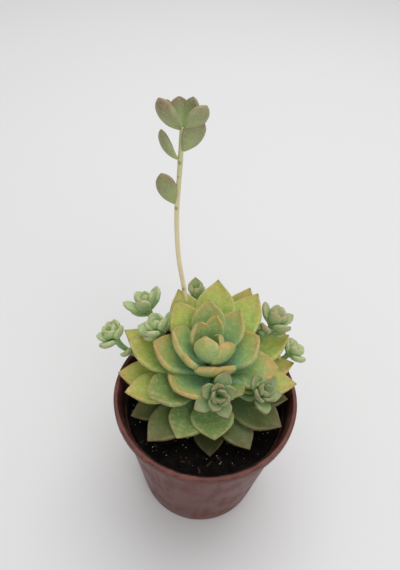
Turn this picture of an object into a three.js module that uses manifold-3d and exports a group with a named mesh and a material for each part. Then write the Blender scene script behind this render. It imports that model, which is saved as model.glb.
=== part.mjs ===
// A potted rosette succulent: a nursery pot, its soil, and a plant with thick leaves,
// small side rosettes and one flower stalk. Millimetres, +Z up, origin at the middle of
// the pot's underside.
import * as THREE from 'three';
import { mergeVertices } from 'three/addons/utils/BufferGeometryUtils.js';
import Module from 'manifold-3d';

const wasm = await Module();
wasm.setup();

// ---- driving dimensions -------------------------------------------------------------

const clearance = 0.3;            // gap between any two pieces that touch

// pot
const potHeight = 78;
const rimRadius = 45;             // outside of the lip
const lipWidth = 2;               // flat top of the lip
const lipDepth = 3.4;
const lipOverhang = 2.4;          // how far the lip stands out from the wall
const wallThickness = 1.5;
const wallTaper = 7.5;            // degrees from upright
const ledgeDepth = 11;            // inner ledge, below the rim
const ledgeWidth = 1.1;
const floorThickness = 2.2;
const drainHoleCount = 6;
const drainHoleRadius = 3;
const drainHoleCircle = 19;
const potSegments = 40;

// soil
const soilDepth = 13.5;           // soil surface below the rim
const soilRoughness = 0.35;       // height of its small humps

// plant: it stands a little behind the middle of the pot
const plantX = 1;
const plantY = 6;
const stemFootRadius = 4.6;
const stemCrownRadius = 2;
const stemRooted = 9;             // length of stem down in the soil
const leafFoot = 4.5;             // lowest leaf base above the soil
const leafCrown = 34;             // highest leaf base above the soil
const rosetteRadius = 45;         // plant's axis to the tip of a full leaf
const rosetteHeight = 50;         // soil to the highest leaf tips
const leafWidth = 18.5;
const leafThickness = 5.4;

// side rosettes
const offsetStemRadius = 1.5;
const offsetLeafWidth = 8.6;
const offsetLeafThickness = 3.5;

// flower stalk
const stalkHeight = 129;          // soil to the stalk's top
const stalkRadius = 1.2;
const stalkLeafWidth = 8.2;
const stalkLeafThickness = 3.4;

// ---- colours ------------------------------------------------------------------------

const potColor = 0x7a3f35;
const soilColor = 0x1d1815;
const stemColor = 0x8f8a52;
const stalkColor = 0xd9d08a;
const offsetColor = 0x8fa978;
const budLeafColor = 0x7d8a66;
const oldLeafColor = 0x76803f;
const youngLeafColor = 0xa9b65c;

// ---- derived places -----------------------------------------------------------------

const soilTop = potHeight - soilDepth;
const axis = new THREE.Vector3(plantX, plantY, 0);
const up = new THREE.Vector3(0, 0, 1);
const insetAt = (depth) => depth * Math.tan(THREE.MathUtils.degToRad(wallTaper));
const wallTopRadius = rimRadius - lipOverhang;
const stemTop = soilTop + leafCrown + 2;

function direction(azimuth) {
  const angle = THREE.MathUtils.degToRad(azimuth);
  return new THREE.Vector3(Math.cos(angle), Math.sin(angle), 0);
}

// ---- solids -------------------------------------------------------------------------

function toSolid(geometry) {
  const bare = geometry.clone();
  bare.deleteAttribute('normal');
  bare.deleteAttribute('uv');
  const merged = mergeVertices(bare, 1e-4);
  return new wasm.Manifold(new wasm.Mesh({
    numProp: 3,
    vertProperties: new Float32Array(merged.attributes.position.array),
    triVerts: new Uint32Array(merged.index.array),
  }));
}

function toGeometry(solid) {
  const mesh = solid.getMesh();
  const geometry = new THREE.BufferGeometry();
  geometry.setAttribute('position', new THREE.BufferAttribute(mesh.vertProperties, 3));
  geometry.setIndex(new THREE.BufferAttribute(mesh.triVerts, 1));
  return geometry;
}

function largestBody(solid) {
  const bodies = solid.decompose();
  bodies.sort((a, b) => b.volume() - a.volume());
  return bodies[0];
}

// Joins rings of points, one after the other, into a closed skin with flat or pointed ends.
function loft(rings, startPoint, endPoint) {
  const count = rings[0].length;
  const points = [startPoint, ...rings.flat(), endPoint];
  const last = points.length - 1;
  const faces = [];
  for (let side = 0; side < count; side += 1) {
    const next = (side + 1) % count;
    faces.push(0, 1 + next, 1 + side);
    for (let ring = 0; ring < rings.length - 1; ring += 1) {
      const here = 1 + ring * count;
      const there = here + count;
      faces.push(here + side, here + next, there + next);
      faces.push(here + side, there + next, there + side);
    }
    faces.push(last - count + side, last - count + next, last);
  }
  const geometry = new THREE.BufferGeometry().setFromPoints(points);
  geometry.setIndex(faces);
  return geometry;
}

// ---- leaves -------------------------------------------------------------------------

// Share of the length, of the width and of the thickness at each section of a leaf.
const leafSections = [
  [0.00, 0.36, 0.42],
  [0.18, 0.50, 0.70],
  [0.40, 0.80, 0.96],
  [0.60, 0.99, 1.00],
  [0.76, 0.97, 0.80],
  [0.88, 0.66, 0.54],
  [0.96, 0.22, 0.28],
];

// A section seen from the leaf's tip, as shares of half the width and of the thickness:
// nearly flat above, full below.
const sectionOutline = [
  [1.00, 0.08],
  [0.50, 0.34],
  [-0.50, 0.34],
  [-1.00, 0.08],
  [-0.48, -0.56],
  [0.48, -0.56],
];

// The same for the small leaves of the side rosettes, which are plump and blunt.
const smallSections = [
  [0.00, 0.45, 0.60],
  [0.50, 1.00, 1.00],
  [0.84, 0.72, 0.72],
];

const smallOutline = [
  [1.00, 0.05],
  [0.45, 0.42],
  [-0.45, 0.42],
  [-1.00, 0.05],
  [-0.50, -0.52],
  [0.50, -0.52],
];

const marginGrowth = 1.5;         // a grown leaf's thin margin has to move out further

// leaf: base and tip points, side (the way its left margin lies), bow, width, thickness.
function leafGeometry(leaf, sections, outline, growth = 0) {
  const chord = leaf.tip.clone().sub(leaf.base);
  const length = chord.length();
  const along = chord.clone().normalize();
  const above = along.clone().cross(leaf.side).applyAxisAngle(along, leaf.twist ?? 0).normalize();
  const side = above.clone().cross(along).normalize();
  const start = leaf.base.clone().addScaledVector(along, -growth);
  const end = leaf.tip.clone().addScaledVector(along, growth * 2);
  const rings = sections.map(([share, wide, thick]) => {
    const sag = 4 * share * (1 - share) * leaf.bow;
    const slope = 4 * (1 - 2 * share) * leaf.bow / length;
    const centre = start.clone().addScaledVector(chord, share * (1 + 2 * growth / length));
    centre.addScaledVector(above, -sag);
    const lift = above.clone().addScaledVector(along, slope).normalize();
    return outline.map(([across, high]) => {
      const onMargin = Math.abs(across) === 1;
      const rise = high * thick * leaf.thickness + (onMargin ? 0 : Math.sign(high) * growth);
      const reach = across * (wide * leaf.width / 2 + growth * marginGrowth);
      return centre.clone().addScaledVector(side, reach).addScaledVector(lift, rise);
    });
  });
  const first = rings[0].reduce((sum, p) => sum.add(p), new THREE.Vector3());
  return loft(rings, first.divideScalar(outline.length), end);
}

// ---- pot and soil -------------------------------------------------------------------

function potProfile() {
  const outerFoot = wallTopRadius - insetAt(potHeight - lipDepth);
  const innerTop = wallTopRadius - wallThickness;
  const ledgeRadius = innerTop - insetAt(ledgeDepth - lipDepth);
  const innerFoot = ledgeRadius - ledgeWidth - insetAt(potHeight - ledgeDepth - floorThickness);
  return [
    [0, 0],
    [outerFoot, 0],
    [wallTopRadius, potHeight - lipDepth],
    [rimRadius, potHeight - lipDepth],
    [rimRadius, potHeight - 0.6],
    [rimRadius - 0.6, potHeight],
    [rimRadius - lipWidth, potHeight],
    [innerTop, potHeight - lipDepth],
    [ledgeRadius, potHeight - ledgeDepth],
    [ledgeRadius - ledgeWidth, potHeight - ledgeDepth - 0.8],
    [innerFoot, floorThickness],
    [0, floorThickness],
  ];
}

function lathe(profile) {
  const points = profile.map(([radius, height]) => new THREE.Vector2(radius, height));
  const geometry = new THREE.LatheGeometry(points, potSegments);
  geometry.rotateX(Math.PI / 2);
  return geometry;
}

function potSolid() {
  let pot = toSolid(lathe(potProfile()));
  for (let hole = 0; hole < drainHoleCount; hole += 1) {
    const centre = direction(360 * (hole + 0.5) / drainHoleCount).multiplyScalar(drainHoleCircle);
    const cutter = new THREE.CylinderGeometry(drainHoleRadius, drainHoleRadius, floorThickness * 4, 12);
    cutter.rotateX(Math.PI / 2);
    cutter.translate(centre.x, centre.y, 0);
    pot = pot.subtract(toSolid(cutter));
  }
  return pot;
}

const soilSegments = 24;

function soilRing(radius, height, roughness = 0) {
  return Array.from({ length: soilSegments }, (_, i) => {
    const angle = 2 * Math.PI * i / soilSegments;
    const hump = roughness * Math.sin(5 * angle + radius) * Math.cos(3 * angle - radius);
    return new THREE.Vector3(radius * Math.cos(angle), radius * Math.sin(angle), height + hump);
  });
}

// The soil fills the pot below its ledge, with a slightly humped top.
function soilSolid() {
  const profile = potProfile();
  const [footRadius, floor] = profile[profile.length - 2];
  const [ledgeRadius, ledgeHeight] = profile[profile.length - 3];
  const wallAt = (height) => THREE.MathUtils.mapLinear(height, floor, ledgeHeight, footRadius, ledgeRadius);
  const bottom = floor + clearance;
  const shoulder = soilTop - 1;
  const rings = [
    soilRing(wallAt(bottom) - clearance, bottom),
    soilRing(wallAt(shoulder) - clearance, shoulder),
    soilRing(wallAt(soilTop) - clearance - 0.9, soilTop),
    soilRing(wallAt(soilTop) * 0.7, soilTop, soilRoughness),
    soilRing(wallAt(soilTop) * 0.35, soilTop, soilRoughness),
  ];
  return toSolid(loft(rings, new THREE.Vector3(0, 0, bottom), new THREE.Vector3(0, 0, soilTop)));
}

// ---- stems --------------------------------------------------------------------------

function stemGeometry(growth = 0) {
  const rings = [
    [-stemRooted, 0.55],
    [-stemRooted * 0.4, 0.85],
    [0, 1],
    [leafFoot, 1],
    [(leafFoot + leafCrown) / 2, 0.5 + stemCrownRadius / stemFootRadius / 2],
    [leafCrown + 2, stemCrownRadius / stemFootRadius],
  ].map(([height, share]) => Array.from({ length: 12 }, (_, i) => direction(30 * i)
    .multiplyScalar(stemFootRadius * share + growth).add(axis).setZ(soilTop + height)));
  const foot = axis.clone().setZ(soilTop - stemRooted - growth - 1);
  const crown = axis.clone().setZ(stemTop + growth);
  return loft(rings, foot, crown);
}

function stemRadiusAt(height) {
  const middle = (leafFoot + leafCrown) / 2;
  const middleRadius = (stemFootRadius + stemCrownRadius) / 2;
  if (height < leafFoot) return stemFootRadius;
  if (height < middle) {
    return THREE.MathUtils.lerp(stemFootRadius, middleRadius, (height - leafFoot) / (middle - leafFoot));
  }
  return THREE.MathUtils.lerp(middleRadius, stemCrownRadius, (height - middle) / (leafCrown + 2 - middle));
}

function rod(points, radius, steps, sides) {
  const section = new THREE.Shape();
  for (let i = 0; i < sides; i += 1) {
    const angle = 2 * Math.PI * i / sides;
    const method = i === 0 ? 'moveTo' : 'lineTo';
    section[method](radius * Math.cos(angle), radius * Math.sin(angle));
  }
  section.closePath();
  return new THREE.ExtrudeGeometry(section, {
    steps,
    bevelEnabled: false,
    extrudePath: new THREE.CatmullRomCurve3(points, false, 'centripetal'),
  });
}

// ---- main rosette -------------------------------------------------------------------

// From the oldest leaf to the youngest. azimuth: degrees from +X. reach: tip from the
// plant's axis, percent of rosetteRadius. rise: tip above the soil, percent of
// rosetteHeight. lean: tip to the left (seen from the axis), percent of rosetteRadius.
// wide: percent of leafWidth. bow: midrib's sag under its chord, percent of its length.
const mainLeaves = [
  { azimuth: 274, reach: 78, rise: 8, lean: 0, wide: 86, bow: 0 },
  { azimuth: 206, reach: 91, rise: 13, lean: 0, wide: 86, bow: 0 },
  { azimuth: 349, reach: 89, rise: 28, lean: 0, wide: 84, bow: 3 },
  { azimuth: 75, reach: 88, rise: 24, lean: 0, wide: 90, bow: 2 },
  { azimuth: 303, reach: 85, rise: 15, lean: 0, wide: 92, bow: 0 },
  { azimuth: 230, reach: 93, rise: 19, lean: 0, wide: 98, bow: 2 },
  { azimuth: 130, reach: 88, rise: 24, lean: 0, wide: 90, bow: 2 },
  { azimuth: 328, reach: 93, rise: 25, lean: 0, wide: 106, bow: 3 },
  { azimuth: 247, reach: 77, rise: 27, lean: 0, wide: 100, bow: 3 },
  { azimuth: 14, reach: 99, rise: 38, lean: 0, wide: 92, bow: 3 },
  { azimuth: 181, reach: 100, rise: 35, lean: 0, wide: 104, bow: 3 },
  { azimuth: 100, reach: 90, rise: 34, lean: 0, wide: 96, bow: 3 },
  { azimuth: 277, reach: 72, rise: 29, lean: 0, wide: 112, bow: 4 },
  { azimuth: 45, reach: 90, rise: 38, lean: 0, wide: 92, bow: 3 },
  { azimuth: 199, reach: 93, rise: 41, lean: 0, wide: 96, bow: 4 },
  { azimuth: 356, reach: 96, rise: 41, lean: 0, wide: 90, bow: 4 },
  { azimuth: 215, reach: 76, rise: 57, lean: 0, wide: 110, bow: 5 },
  { azimuth: 159, reach: 104, rise: 59, lean: 0, wide: 92, bow: 4 },
  { azimuth: 27, reach: 99, rise: 59, lean: 0, wide: 96, bow: 4 },
  { azimuth: 119, reach: 82, rise: 91, lean: 0, wide: 100, bow: 5 },
  { azimuth: 168, reach: 92, rise: 63, lean: 0, wide: 104, bow: 5 },
  { azimuth: 64, reach: 95, rise: 87, lean: 0, wide: 106, bow: 6 },
  { azimuth: 318, reach: 48, rise: 52, lean: 0, wide: 92, bow: 5 },
  { azimuth: 0, reach: 74, rise: 58, lean: 0, wide: 118, bow: 5 },
  { azimuth: 228, reach: 54, rise: 64, lean: 0, wide: 114, bow: 8 },
  { azimuth: 87, reach: 84, rise: 97, lean: 0, wide: 112, bow: 6 },
  { azimuth: 177, reach: 61, rise: 82, lean: 0, wide: 108, bow: 8 },
  { azimuth: 55, reach: 86, rise: 93, lean: 0, wide: 100, bow: 6 },
  { azimuth: 22, reach: 55, rise: 81, lean: 0, wide: 108, bow: 8 },
  { azimuth: 131, reach: 62, rise: 97, lean: 0, wide: 98, bow: 7 },
  { azimuth: 279, reach: 19, rise: 75, lean: 6, wide: 112, bow: 14 },
  { azimuth: 97, reach: 48, rise: 101, lean: 0, wide: 94, bow: 8 },
  { azimuth: 54, reach: 48, rise: 98, lean: 0, wide: 80, bow: 8 },
  { azimuth: 166, reach: 42, rise: 96, lean: 0, wide: 84, bow: 10 },
  { azimuth: 215, reach: 28, rise: 82, lean: -19, wide: 104, bow: 12 },
  { azimuth: 310, reach: 7, rise: 89, lean: 14, wide: 100, bow: 12 },
  { azimuth: 84, reach: 25, rise: 103, lean: 0, wide: 50, bow: 10 },
  { azimuth: 136, reach: 21, rise: 102, lean: 0, wide: 66, bow: 10 },
  { azimuth: 262, reach: 4, rise: 102, lean: -7, wide: 66, bow: 12 },
  { azimuth: 30, reach: 7, rise: 97, lean: 0, wide: 40, bow: 8 },
];

function mainLeaf(row, order, growth) {
  const age = order / (mainLeaves.length - 1);
  const foot = leafFoot + (leafCrown - leafFoot) * age;
  const outward = direction(row.azimuth);
  const base = outward.clone().multiplyScalar(stemRadiusAt(foot) + clearance).add(axis);
  base.setZ(soilTop + foot);
  const tip = outward.clone().multiplyScalar(row.reach / 100 * rosetteRadius).add(axis);
  tip.addScaledVector(direction(row.azimuth + 90), row.lean / 100 * rosetteRadius);
  tip.setZ(soilTop + row.rise / 100 * rosetteHeight);
  const length = tip.distanceTo(base);
  return leafGeometry({
    base,
    tip,
    side: direction(row.azimuth + 90),
    bow: row.bow / 100 * length,
    width: row.wide / 100 * leafWidth,
    thickness: leafThickness * (0.86 + 0.14 * age) * Math.min(1, 0.55 + length / 70),
  }, leafSections, sectionOutline, growth);
}

// ---- side rosettes ------------------------------------------------------------------

// azimuth, reach and rise place the middle of each side rosette as on the main leaves.
// foot: where its stem leaves the main one, percent of rosetteHeight. tilt: degrees from
// upright that it faces outwards. size: length of its largest leaves. open: tilt of the
// outermost leaves away from its own axis. turn: degrees of its first leaf. lower:
// leaves on its stem, below the rosette.
const sideRosettes = [
  { azimuth: 162, reach: 115, rise: 53, foot: 12, tilt: 35, size: 11, count: 10, open: 62, turn: 0, lower: 3 },
  { azimuth: 136, reach: 105, rise: 63, foot: 16, tilt: 30, size: 14, count: 8, open: 52, turn: 40, lower: 3 },
  { azimuth: 154, reach: 64, rise: 76, foot: 34, tilt: 30, size: 12, count: 9, open: 64, turn: 80, lower: 2 },
  { azimuth: 284, reach: 40, rise: 57, foot: 36, tilt: 40, size: 12.8, count: 11, open: 74, turn: 160, lower: 0 },
  { azimuth: 334, reach: 62, rise: 50, foot: 30, tilt: 32, size: 12, count: 10, open: 70, turn: 10, lower: 0 },
  { azimuth: 37, reach: 88, rise: 70, foot: 40, tilt: 30, size: 14, count: 9, open: 58, turn: 60, lower: 4 },
  { azimuth: 21, reach: 100, rise: 44, foot: 26, tilt: 40, size: 10, count: 8, open: 62, turn: 30, lower: 2 },
  { azimuth: 99, reach: 98, rise: 60, foot: 22, tilt: 12, size: 12, count: 5, open: 20, turn: 90, lower: 1 },
];

const goldenAngle = 137.5;

function sidePlace(row) {
  const outward = direction(row.azimuth);
  const centre = outward.clone().multiplyScalar(row.reach / 100 * rosetteRadius).add(axis);
  centre.setZ(soilTop + row.rise / 100 * rosetteHeight);
  const facing = up.clone().multiplyScalar(Math.cos(THREE.MathUtils.degToRad(row.tilt)));
  facing.addScaledVector(outward, Math.sin(THREE.MathUtils.degToRad(row.tilt)));
  const foot = row.foot / 100 * rosetteHeight;
  const start = outward.clone().multiplyScalar(stemRadiusAt(foot) + clearance).add(axis);
  start.setZ(soilTop + foot);
  return { centre, facing, start, outward };
}

function sideStemPoints(row) {
  const { centre, facing, start } = sidePlace(row);
  const under = centre.clone().addScaledVector(facing, -row.size * 0.25);
  const bend = centre.clone().addScaledVector(facing, -row.size * 0.9);
  return [start, start.clone().lerp(bend, 0.5), bend, under];
}

function sideStem(row, growth) {
  return rod(sideStemPoints(row), offsetStemRadius + growth, 6, 6);
}

// The leaves on a side rosette's stem: they turn round it, the lowest well below the top.
function sideStemLeaves(row, growth) {
  const stem = new THREE.CatmullRomCurve3(sideStemPoints(row), false, 'centripetal');
  const { facing } = sidePlace(row);
  return Array.from({ length: row.lower }, (_, i) => {
    const share = 0.94 - 0.3 * i / Math.max(1, row.lower - 1);
    const aside = facing.clone().cross(up).normalize();
    aside.applyAxisAngle(facing, THREE.MathUtils.degToRad(row.turn + goldenAngle * (i + 0.6)));
    const along = facing.clone().multiplyScalar(0.5).addScaledVector(aside, 0.87);
    const base = stem.getPoint(share).addScaledVector(aside, offsetStemRadius * 0.5);
    const length = row.size * (0.78 - 0.06 * i);
    return leafGeometry({
      base,
      tip: base.clone().addScaledVector(along, length),
      side: facing.clone().cross(aside),
      bow: length * 0.08,
      width: offsetLeafWidth * 0.8,
      thickness: offsetLeafThickness * 0.9,
    }, smallSections, smallOutline, growth);
  });
}

function sideLeaves(row, growth) {
  const { centre, facing, outward } = sidePlace(row);
  const across = up.clone().cross(outward).normalize();
  const over = across.clone().cross(facing).normalize();
  return Array.from({ length: row.count }, (_, i) => {
    const age = 1 - i / (row.count - 1);
    const turn = THREE.MathUtils.degToRad(row.turn + goldenAngle * i);
    const spread = THREE.MathUtils.degToRad(12 + (row.open - 12) * age);
    const aside = across.clone().multiplyScalar(Math.cos(turn)).addScaledVector(over, Math.sin(turn));
    const along = facing.clone().multiplyScalar(Math.cos(spread)).addScaledVector(aside, Math.sin(spread));
    const length = row.size * (0.5 + 0.5 * age);
    const base = centre.clone().addScaledVector(facing, -row.size * 0.22 * age).addScaledVector(aside, 0.4);
    return leafGeometry({
      base,
      tip: base.clone().addScaledVector(along, length),
      side: facing.clone().cross(aside),
      bow: length * 0.08,
      width: offsetLeafWidth * (0.6 + 0.4 * age),
      thickness: offsetLeafThickness * (0.7 + 0.3 * age),
    }, smallSections, smallOutline, growth);
  });
}

// ---- flower stalk -------------------------------------------------------------------

// Azimuth and reach (millimetres) from the plant's axis, and percent of stalkHeight.
const stalkPath = [
  [116, 5.2, 9],
  [115, 14, 15],
  [115, 26, 25],
  [115, 35.3, 36],
  [117, 40.3, 50],
  [117, 43.1, 68],
  [115.7, 43.3, 82],
  [114.6, 42.8, 100],
];

function stalkPoint([azimuth, reach, height]) {
  const point = direction(azimuth).multiplyScalar(reach).add(axis);
  return point.setZ(soilTop + height / 100 * stalkHeight);
}

function stalkGeometry(growth) {
  return rod(stalkPath.map(stalkPoint), stalkRadius + growth, 18, 8);
}

// height: percent of stalkHeight. azimuth: the way the leaf points. length in
// millimetres. pitch: degrees above level. wide: percent of stalkLeafWidth.
const stalkLeaves = [
  { name: 'stalk_leaf_low', height: 71, azimuth: 168, length: 16.5, pitch: 70, twist: 90, wide: 96 },
  { name: 'stalk_leaf_left', height: 89, azimuth: 180, length: 14.5, pitch: 64, twist: 35, wide: 74 },
  { name: 'stalk_leaf_right', height: 90, azimuth: 5, length: 18, pitch: 70, twist: -80, wide: 112 },
  { name: 'bud_leaf_1', height: 99, azimuth: 178, length: 14.8, pitch: 58, twist: 58, wide: 104 },
  { name: 'bud_leaf_2', height: 99, azimuth: 5, length: 13.2, pitch: 54, twist: -55, wide: 94 },
  { name: 'bud_leaf_3', height: 99, azimuth: 105, length: 12, pitch: 60, twist: 0, wide: 106 },
  { name: 'bud_leaf_4', height: 99, azimuth: 58, length: 12.4, pitch: 64, twist: 0, wide: 84 },
  { name: 'bud_leaf_5', height: 99, azimuth: 152, length: 12, pitch: 62, twist: 20, wide: 76 },
];

function stalkLeaf(row, growth) {
  const outward = direction(row.azimuth);
  const pitch = THREE.MathUtils.degToRad(row.pitch);
  const curve = new THREE.CatmullRomCurve3(stalkPath.map(stalkPoint), false, 'centripetal');
  const heightAt = soilTop + row.height / 100 * stalkHeight;
  const samples = curve.getPoints(200);
  const foot = samples.find((point) => point.z >= heightAt) ?? samples[samples.length - 1];
  const base = foot.clone().addScaledVector(outward, stalkRadius + clearance);
  const along = outward.clone().multiplyScalar(Math.cos(pitch)).addScaledVector(up, Math.sin(pitch));
  return leafGeometry({
    base,
    tip: base.clone().addScaledVector(along, row.length),
    side: direction(row.azimuth + 90),
    twist: THREE.MathUtils.degToRad(row.twist),
    bow: row.length * 0.1,
    width: row.wide / 100 * stalkLeafWidth,
    thickness: stalkLeafThickness,
  }, leafSections, sectionOutline, growth);
}

// ---- assembly -----------------------------------------------------------------------

const group = new THREE.Group();

function addPiece(name, solid, color, roughness) {
  const material = new THREE.MeshStandardMaterial({ color, roughness, metalness: 0, side: THREE.FrontSide });
  const mesh = new THREE.Mesh(toGeometry(solid), material);
  mesh.name = name;
  group.add(mesh);
}

const number = (index) => String(index + 1).padStart(2, '0');

// A piece keeps what is left of it once the grown shapes of the pieces placed before it
// are taken away, so neighbours that press together keep their gap.
const placed = [];

function reserve(owner, grown) {
  placed.push({ owner, grown, box: grown.boundingBox() });
}

function clearOf(solid, owner) {
  const box = solid.boundingBox();
  let rest = solid;
  for (const other of placed) {
    const far = [0, 1, 2].some((i) => other.box.min[i] > box.max[i] || other.box.max[i] < box.min[i]);
    if (!far && other.owner !== owner) rest = rest.subtract(other.grown);
  }
  return rest;
}

function place(name, geometryAt, color) {
  addPiece(name, largestBody(clearOf(toSolid(geometryAt(0)), name)), color, 0.5);
  reserve(name, toSolid(geometryAt(clearance)));
}

const pot = potSolid();
const stemGrown = toSolid(stemGeometry(clearance));
addPiece('pot', pot, potColor, 0.55);
addPiece('soil', largestBody(soilSolid().subtract(stemGrown)), soilColor, 0.95);
addPiece('stem', toSolid(stemGeometry()), stemColor, 0.7);
reserve('pot', pot);
reserve('stem', stemGrown);
place('flower_stalk', stalkGeometry, stalkColor);

const sideName = (index) => `side_rosette_${index + 1}`;
sideRosettes.forEach((row, index) => reserve(sideName(index), toSolid(sideStem(row, clearance))));

for (let order = mainLeaves.length - 1; order >= 0; order -= 1) {
  const age = order / (mainLeaves.length - 1);
  const color = new THREE.Color(oldLeafColor).lerp(new THREE.Color(youngLeafColor), age);
  place(`leaf_${number(order)}`, (growth) => mainLeaf(mainLeaves[order], order, growth), color);
}

for (const row of stalkLeaves) place(row.name, (growth) => stalkLeaf(row, growth), budLeafColor);

sideRosettes.forEach((row, index) => {
  let solid = toSolid(sideStem(row, 0));
  for (const leaf of [...sideLeaves(row, 0), ...sideStemLeaves(row, 0)]) solid = solid.add(toSolid(leaf));
  addPiece(sideName(index), largestBody(clearOf(solid, sideName(index))), offsetColor, 0.5);
  for (const leaf of [...sideLeaves(row, clearance), ...sideStemLeaves(row, clearance)]) {
    reserve(sideName(index), toSolid(leaf));
  }
});

export default group;
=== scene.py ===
"""A potted rosette succulent in a nursery pot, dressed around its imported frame.

Every place and overall size is read from the frame's nodes. All lengths are in metres.
"""
import logging
import math
from collections.abc import Callable
from dataclasses import dataclass, field, replace
from enum import Enum

import bpy
import numpy as np
from mathutils import Euler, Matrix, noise
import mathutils


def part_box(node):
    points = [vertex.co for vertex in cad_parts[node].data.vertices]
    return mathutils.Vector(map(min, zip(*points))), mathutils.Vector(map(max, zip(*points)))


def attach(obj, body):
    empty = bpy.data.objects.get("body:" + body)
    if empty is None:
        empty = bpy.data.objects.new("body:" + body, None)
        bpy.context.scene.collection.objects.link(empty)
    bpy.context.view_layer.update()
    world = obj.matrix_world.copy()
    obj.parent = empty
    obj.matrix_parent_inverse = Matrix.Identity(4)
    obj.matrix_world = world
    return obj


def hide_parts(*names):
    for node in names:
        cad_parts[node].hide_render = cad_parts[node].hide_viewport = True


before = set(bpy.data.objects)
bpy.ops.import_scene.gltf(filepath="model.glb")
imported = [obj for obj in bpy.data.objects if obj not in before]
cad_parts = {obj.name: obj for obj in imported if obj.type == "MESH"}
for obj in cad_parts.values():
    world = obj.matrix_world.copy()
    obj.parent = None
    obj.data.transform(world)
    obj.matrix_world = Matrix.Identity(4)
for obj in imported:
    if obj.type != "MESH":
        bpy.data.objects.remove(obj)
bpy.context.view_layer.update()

log = logging.getLogger("succulent")
MM = 0.001
ROOT = "root"
GOLDEN_ANGLE = math.radians(137.5)
UP = np.array((0.0, 0.0, 1.0))
Points = np.ndarray
Rows = tuple[tuple[float, ...], ...]
Vector = tuple[float, float, float]
Colour = tuple[int, int, int]


class Slot(Enum):
    """Names of the material slots."""

    POT = "pot_plastic"
    SOIL = "soil"
    STEM = "stem_skin"
    STALK = "stalk_skin"
    OLD = "old_leaf"
    GROWN = "grown_leaf"
    YOUNG = "young_leaf"
    SIDE = "side_rosette_leaf"
    STALK_LEAF = "stalk_leaf"


# ---- small maths --------------------------------------------------------------------


def unit(vector: Points) -> Points:
    """Returns the vector with length one."""
    return vector / np.linalg.norm(vector)


def heading(azimuth: float) -> Points:
    """Returns the level unit vector at an azimuth in radians from +X."""
    return np.array((math.cos(azimuth), math.sin(azimuth), 0.0))


def circle(count: int) -> Points:
    """Returns the points of a level circle of radius one about the origin."""
    angle = 2 * np.pi * np.arange(count) / count
    return np.stack((np.cos(angle), np.sin(angle), 0 * angle), axis=1)


def eased(low: float, high: float, value: Points | float) -> Points:
    """Rises smoothly from 0 at low to 1 at high.

    Args:
        low: value where the rise starts.
        high: value where it ends.
        value: one value or an array of them.

    Returns:
        The eased share, in the same form as value.
    """
    share = np.clip((np.asarray(value, float) - low) / (high - low), 0.0, 1.0)
    return share * share * (3.0 - 2.0 * share)


def smooth_through(knots: Rows, column: int, at: Points) -> Points:
    """Follows one column of knots with a cubic that never overshoots them.

    Args:
        knots: rows that start with their place, in rising order.
        column: the column to follow.
        at: places to read.

    Returns:
        The column's value at each place.
    """
    table = np.array(knots)
    place, value = table[:, 0], table[:, column]
    step = np.diff(place)
    rise = np.diff(value) / step
    slope = np.zeros(len(place))
    same_way = rise[:-1] * rise[1:] > 0
    mean = 2 * rise[:-1] * rise[1:] / np.where(same_way, rise[:-1] + rise[1:], 1.0)
    slope[1:-1] = np.where(same_way, mean, 0.0)
    slope[0], slope[-1] = rise[0], rise[-1]
    index = np.clip(np.searchsorted(place, at, side="right") - 1, 0, len(step) - 1)
    t = (at - place[index]) / step[index]
    start, end = value[index], value[index + 1]
    pull = slope[index] * step[index]
    push = slope[index + 1] * step[index]
    turn = 2 * (start - end) + pull + push
    bend = 3 * (end - start) - 2 * pull - push
    return start + t * (pull + t * (bend + t * turn))


def curve_through(points: Points, count: int) -> Points:
    """Spreads points evenly along a smooth curve through the given ones.

    Args:
        points: the points of the route, one a row.
        count: how many points to return.

    Returns:
        The points of the smooth curve.
    """
    reach = np.concatenate(([0.0], np.cumsum(np.linalg.norm(np.diff(points, axis=0), axis=1))))
    at = np.linspace(0.0, reach[-1], count)
    padded = np.vstack((2 * points[0] - points[1], points, 2 * points[-1] - points[-2]))
    index = np.clip(np.searchsorted(reach, at, side="right") - 1, 0, len(points) - 2)
    t = ((at - reach[index]) / (reach[index + 1] - reach[index]))[:, None]
    a, b, c, d = (padded[index + i] for i in range(4))
    return 0.5 * (2 * b + (c - a) * t + (2 * a - 5 * b + 4 * c - d) * t**2 + (3 * b - a - 3 * c + d) * t**3)


def corner_points(node: str) -> Points:
    """Returns the corner points of a CAD node, each listed once."""
    corners = [vertex.co[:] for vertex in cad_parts[node].data.vertices]
    return np.unique(np.array(corners).round(6), axis=0)


def noise_at(points: Points, size: float, seed: float = 0.0) -> Points:
    """Reads soft noise, about -1 to 1, at each point.

    Args:
        points: where to read it.
        size: width of one hump.
        seed: moves the pattern.

    Returns:
        One value a point.
    """
    return np.array([noise.noise((p[0] / size + seed, p[1] / size, p[2] / size)) for p in points])


# ---- meshes -------------------------------------------------------------------------


@dataclass
class Skin:
    """A closed or open skin of points and faces with values on its points."""

    points: Points
    faces: list[tuple[int, ...]]
    values: dict[str, Points] = field(default_factory=dict)

    def volume(self) -> float:
        """Returns the signed volume, above zero where the faces point outwards."""
        total = 0.0
        for face in self.faces:
            a = self.points[face[0]]
            for i in range(1, len(face) - 1):
                total += a @ np.cross(self.points[face[i]], self.points[face[i + 1]])
        return total

    def outwards(self) -> "Skin":
        """Turns the faces round if they point inwards, and returns the skin."""
        if self.volume() < 0:
            self.faces = [face[::-1] for face in self.faces]
        return self

    def constant(self, name: str, value: float) -> "Skin":
        """Gives every point the same named value, and returns the skin."""
        self.values[name] = np.full(len(self.points), value)
        return self


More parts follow.
